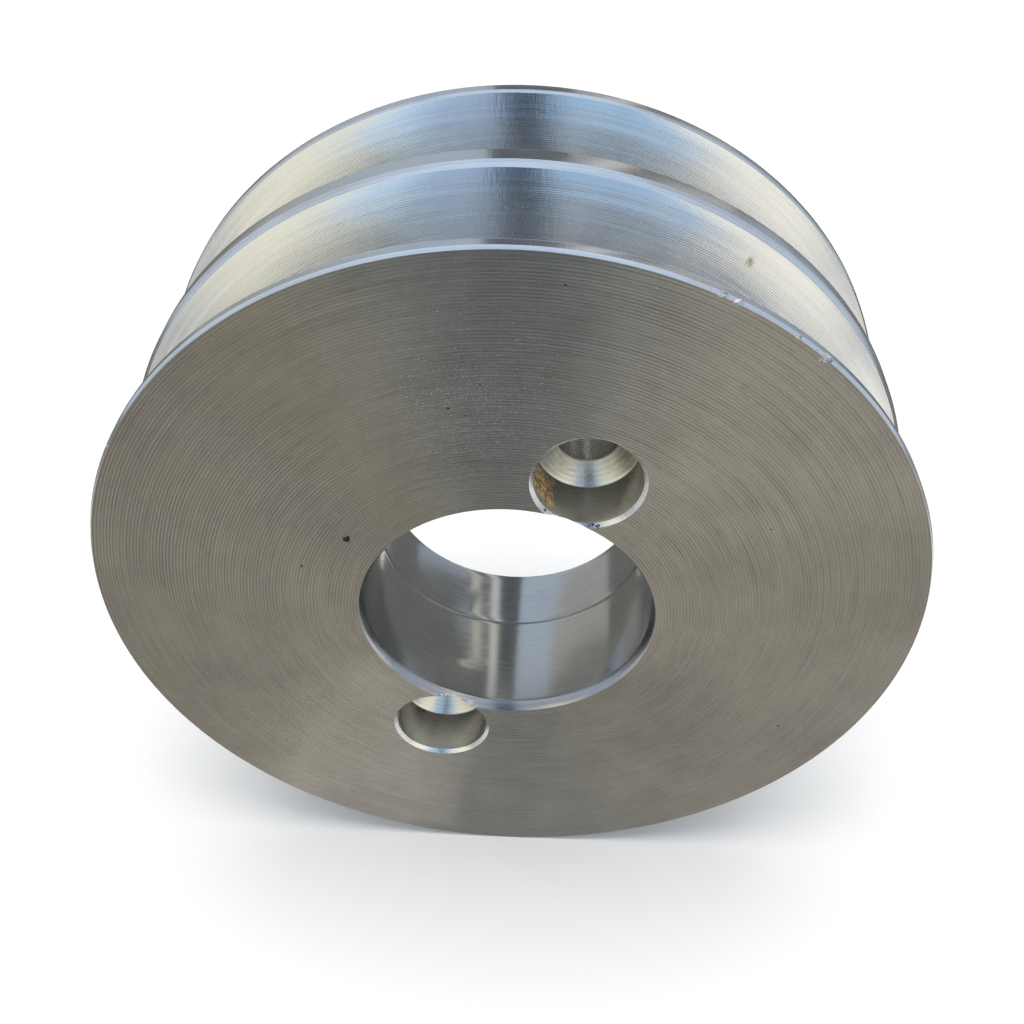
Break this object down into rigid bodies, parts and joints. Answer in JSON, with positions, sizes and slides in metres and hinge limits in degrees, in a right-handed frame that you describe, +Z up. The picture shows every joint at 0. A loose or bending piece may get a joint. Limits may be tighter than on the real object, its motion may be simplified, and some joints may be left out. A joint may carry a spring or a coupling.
{
  "type": "v belt pulley",
  "caption": "Turned V-belt pulley with V-grooves, a plain through bore, a recessed back and counterbored fixing holes beside the bore.",
  "frame": {"origin": "the pulley's centre: on its axis, midway between the front and rear faces", "axes": "+Y along the pulley's axis, from the plain front face towards the recessed back; +Z up; the fixing holes lie 22.1 degrees clockwise from the Z axis, seen from the front"},
  "size_m": [0.1, 0.038, 0.1],
  "materials": {
    "turned_aluminium": "bare, fine concentric turning marks",
    "bush_steel": "bored smooth"
  },
  "bodies": {
    "root": {"pulley_body": "turned_aluminium", "bore_bush": "bush_steel"}
  },
  "joints": []
}
